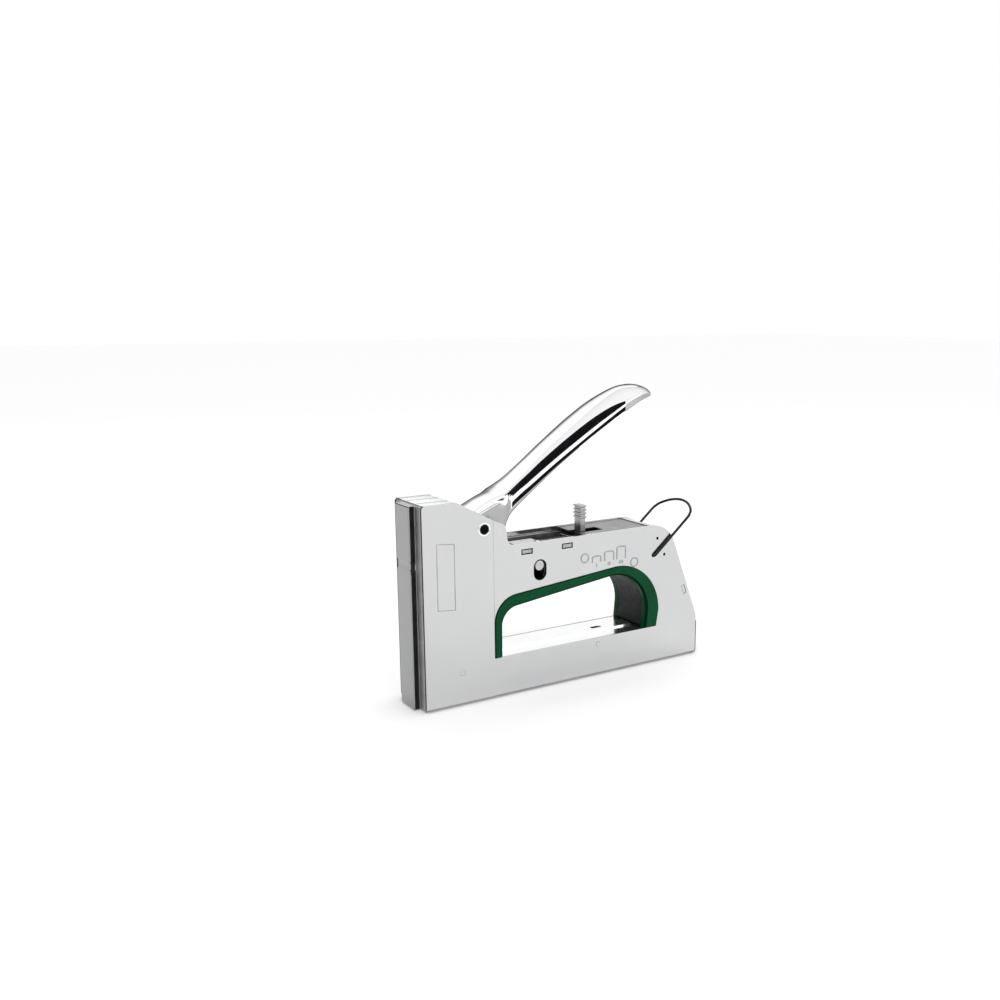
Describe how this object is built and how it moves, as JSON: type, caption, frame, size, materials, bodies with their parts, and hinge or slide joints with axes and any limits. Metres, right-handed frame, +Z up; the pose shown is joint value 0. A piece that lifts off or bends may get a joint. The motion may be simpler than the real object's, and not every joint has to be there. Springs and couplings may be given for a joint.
{
  "type": "staple gun",
  "caption": "Squeeze-lever hand tacker with a pressed chrome body, polished U-section lever, green grip insert, thumb force adjuster, wire handle lock and pull-out magazine.",
  "frame": {"origin": "centre of the bounding box's bottom face: on the base, midway between nose and rear, on the middle plane", "axes": "+X runs from the nose to the rear, +Y across the body, +Z up from the base"},
  "size_m": [0.18, 0.0336, 0.1578],
  "materials": {
    "satin_chrome": "satin nickel-chrome plate on pressed steel",
    "bright_chrome": "mirror-polished chrome plate",
    "dark_steel": "blackened spring wire and pins",
    "inner_steel": "plain zinc-plated steel",
    "hard_steel": "ground hardened steel",
    "green_plastic": "dark green moulded plastic",
    "black_pad": "black soft inlay",
    "black_plastic": "black moulded plastic",
    "staple_wire": "galvanised staple wire"
  },
  "bodies": {
    "body": {"side_plate_left": "satin_chrome", "side_plate_right": "satin_chrome", "nose_cover": "bright_chrome", "driver_guide": "inner_steel", "tower_cap": "bright_chrome", "leg_cover": "inner_steel", "rear_cover": "satin_chrome", "lower_cover": "bright_chrome", "magazine_channel": "inner_steel", "mechanism_frame": "inner_steel", "grip_insert": "green_plastic", "grip_pad": "black_pad", "lever_pivot_pin": "dark_steel", "pivot_washers": "inner_steel", "lever_return_spring": "dark_steel", "bumper": "black_pad", "bumper_bracket": "inner_steel", "fulcrum_pin": "hard_steel", "adjuster_pin": "hard_steel", "frame_rivets": "inner_steel"},
    "lever": {"lever_handle": "bright_chrome", "lift_plates": "inner_steel", "lift_rivets": "inner_steel", "lift_roller": "hard_steel", "roller_pin": "hard_steel"},
    "striker": {"striker": "hard_steel", "driver_blade": "hard_steel", "driver_rivet": "inner_steel"},
    "rocker": {"rocker_arm": "hard_steel", "rocker_pin": "inner_steel"},
    "plunger": {"spring_plunger": "inner_steel", "main_spring": "dark_steel"},
    "seat": {"spring_seat": "inner_steel"},
    "adjuster": {"force_adjuster": "inner_steel"},
    "lock": {"handle_lock": "dark_steel"},
    "magazine": {"magazine_rail": "inner_steel", "end_cap": "black_plastic", "staple_strip": "staple_wire", "pusher_rod": "inner_steel"},
    "pusher": {"staple_pusher": "hard_steel", "pusher_spring": "dark_steel"},
    "catch": {"magazine_catch": "inner_steel", "catch_spring": "dark_steel"}
  },
  "joints": [
    {"name": "lever_squeeze", "type": "hinge", "parent": "body", "child": "lever", "pos_m": [-0.0523, 0, 0.09], "axis": [0, 1, 0], "range_deg": [0, 32], "stiffness_Nm_per_rad": 1, "springref_deg": -28.65},
    {"name": "striker_lift", "type": "slide", "parent": "body", "child": "striker", "axis": [0, 0, 1], "range_m": [0, 0.0132]},
    {"name": "rocker_swing", "type": "hinge", "parent": "body", "child": "rocker", "pos_m": [-0.034, 0, 0.063], "axis": [0, 1, 0], "range_deg": [0, 17.6]},
    {"name": "plunger_slide", "type": "slide", "parent": "body", "child": "plunger", "axis": [1, 0, 0], "range_m": [0, 0.0036], "deforming": ["main_spring"]},
    {"name": "force_adjust", "type": "hinge", "parent": "body", "child": "adjuster", "pos_m": [0.0155, 0, 0.071], "axis": [0, 1, 0], "range_deg": [0, 40]},
    {"name": "seat_slide", "type": "slide", "parent": "body", "child": "seat", "axis": [1, 0, 0], "range_m": [-0.0036, 0]},
    {"name": "lock_swing", "type": "hinge", "parent": "body", "child": "lock", "pos_m": [0.055, 0, 0.0627], "axis": [0, 1, 0], "range_deg": [-32, 45]},
    {"name": "magazine_slide", "type": "slide", "parent": "body", "child": "magazine", "axis": [1, 0, 0], "range_m": [0, 0.11]},
    {"name": "pusher_slide", "type": "slide", "parent": "magazine", "child": "pusher", "axis": [1, 0, 0], "range_m": [0, 0.06], "stiffness_N_per_m": 50, "springref_m": -0.03, "deforming": ["pusher_spring"]},
    {"name": "catch_press", "type": "slide", "parent": "magazine", "child": "catch", "axis": [0, 0, -1], "range_m": [0, 0.0022], "stiffness_N_per_m": 300, "springref_m": -0.001, "deforming": ["catch_spring"]}
  ],
  "couplings": [
    {"joint": "striker_lift", "follows": "lever_squeeze", "m_per_rad": 0.0235},
    {"joint": "rocker_swing", "follows": "lever_squeeze", "ratio": 0.547},
    {"joint": "plunger_slide", "follows": "lever_squeeze", "m_per_rad": 0.0063},
    {"joint": "seat_slide", "follows": "force_adjust", "m_per_rad": -0.00507}
  ]
}
